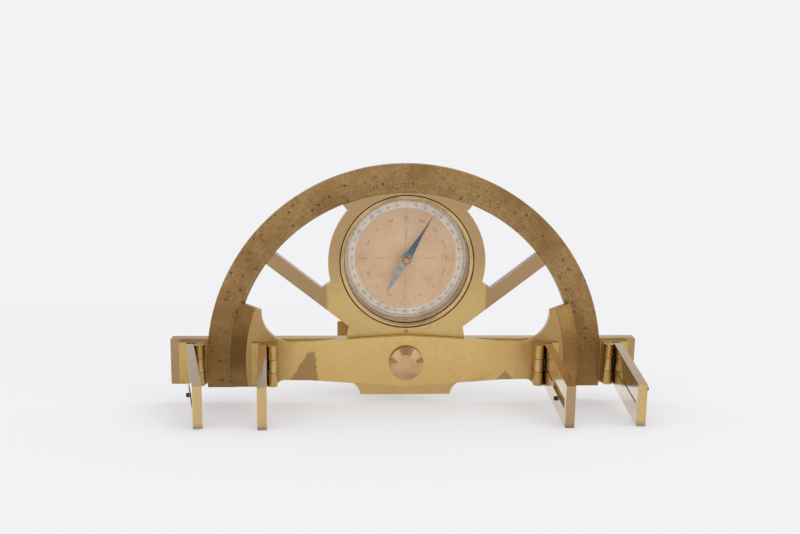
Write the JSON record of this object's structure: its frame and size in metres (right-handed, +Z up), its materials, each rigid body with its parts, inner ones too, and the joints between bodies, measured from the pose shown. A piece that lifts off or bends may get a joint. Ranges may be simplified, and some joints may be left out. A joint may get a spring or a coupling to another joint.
{
  "type": "graphometer",
  "caption": "Brass half-circle graphometer with compass, turning alidade, folding sights and a ball-jointed staff socket.",
  "frame": {"origin": "point on the ground below the middle of the instrument's box, as it stands on its sight tips and socket mouth", "axes": "+X to the right along the bar seen from the graduated side, +Y from that side towards the socket, +Z up"},
  "size_m": [0.2244, 0.1604, 0.1146],
  "materials": {
    "lacquered_brass": "lacquered, lightly worn",
    "dull_brass": "brown tarnish",
    "red_brass": "polished, reddish",
    "steel": "plain turned",
    "dark_steel": "darkened",
    "blued_steel": "heat blued",
    "copper_dial": "matt copper wash with engraved lines",
    "silvered_brass": "silvered, worn",
    "horsehair": "single hair",
    "glass": "clear"
  },
  "bodies": {
    "socket": {"socket_tube": "lacquered_brass", "clamp_shell": "lacquered_brass"},
    "ball": {"ball_stem": "lacquered_brass", "pivot_screw": "red_brass", "pivot_washer": "lacquered_brass"},
    "limb": {"graduated_limb": "dull_brass", "cross_frame": "lacquered_brass", "limb_screws": "steel", "compass_box": "lacquered_brass", "box_nut": "lacquered_brass", "dial_plate": "copper_dial", "degree_ring": "silvered_brass", "needle_pivot": "steel", "compass_glass": "glass", "compass_bezel": "lacquered_brass", "knee_flange": "lacquered_brass", "flange_screws": "steel", "steady_pin": "dark_steel", "base_outer_left": "lacquered_brass", "base_outer_right": "lacquered_brass", "pin_outer_left": "steel", "pin_outer_right": "steel"},
    "alidade": {"alidade_bar": "lacquered_brass", "vernier_left": "dull_brass", "vernier_right": "dull_brass", "base_inner_left": "lacquered_brass", "base_inner_right": "lacquered_brass", "pin_inner_left": "steel", "pin_inner_right": "steel"},
    "compass_needle": {"needle": "blued_steel", "needle_cap": "red_brass"},
    "outer_left_sight": {"sight_outer_left": "lacquered_brass", "peg_outer_left": "dark_steel", "hair_outer_left": "horsehair"},
    "inner_left_sight": {"sight_inner_left": "lacquered_brass", "peg_inner_left": "dark_steel", "hair_inner_left": "horsehair"},
    "inner_right_sight": {"sight_inner_right": "lacquered_brass", "peg_inner_right": "dark_steel", "hair_inner_right": "horsehair"},
    "outer_right_sight": {"sight_outer_right": "lacquered_brass", "peg_outer_right": "dark_steel", "hair_outer_right": "horsehair"},
    "wing_screw": {"clamp_screw": "lacquered_brass"},
    "thumb_screw": {"staff_screw": "lacquered_brass"}
  },
  "joints": [
    {"name": "ball_tilt", "type": "hinge", "parent": "socket", "child": "ball", "pos_m": [0, 0.01709, 0.02423], "axis": [1, 0, 0], "range_deg": [-48.6, 7.4]},
    {"name": "limb_swivel", "type": "hinge", "parent": "ball", "child": "limb", "pos_m": [0, -0.00957, 0.02], "axis": [0, -0.9877, -0.1564], "continuous": true},
    {"name": "alidade_turn", "type": "hinge", "parent": "limb", "child": "alidade", "pos_m": [0, -0.00957, 0.02], "axis": [0, -0.9877, -0.1564], "continuous": true},
    {"name": "outer_left_fold", "type": "hinge", "parent": "limb", "child": "outer_left_sight", "pos_m": [-0.0978, -0.0154, 0.01908], "axis": [0, -0.1564, 0.9877], "range_deg": [-11, 15]},
    {"name": "inner_left_fold", "type": "hinge", "parent": "alidade", "child": "inner_left_sight", "pos_m": [-0.0636, -0.01728, 0.01878], "axis": [0, -0.1564, 0.9877], "range_deg": [-4, 86]},
    {"name": "inner_right_fold", "type": "hinge", "parent": "alidade", "child": "inner_right_sight", "pos_m": [0.0636, -0.01728, 0.01878], "axis": [0, 0.1564, -0.9877], "range_deg": [-3, 87]},
    {"name": "outer_right_fold", "type": "hinge", "parent": "limb", "child": "outer_right_sight", "pos_m": [0.0978, -0.0154, 0.01908], "axis": [0, 0.1564, -0.9877], "range_deg": [-6, 20]},
    {"name": "needle_spin", "type": "hinge", "parent": "limb", "child": "compass_needle", "pos_m": [0, -0.01092, 0.06879], "axis": [0, -0.9877, -0.1564], "continuous": true},
    {"name": "wing_screw_turn", "type": "hinge", "parent": "socket", "child": "wing_screw", "pos_m": [0, 0.03228, 0.02111], "axis": [1, 0, 0], "range_deg": [-30, 360]},
    {"name": "thumb_screw_turn", "type": "hinge", "parent": "socket", "child": "thumb_screw", "pos_m": [0, 0.06019, 0.01538], "axis": [0, 0.2012, 0.9796], "range_deg": [-30, 720]}
  ]
}
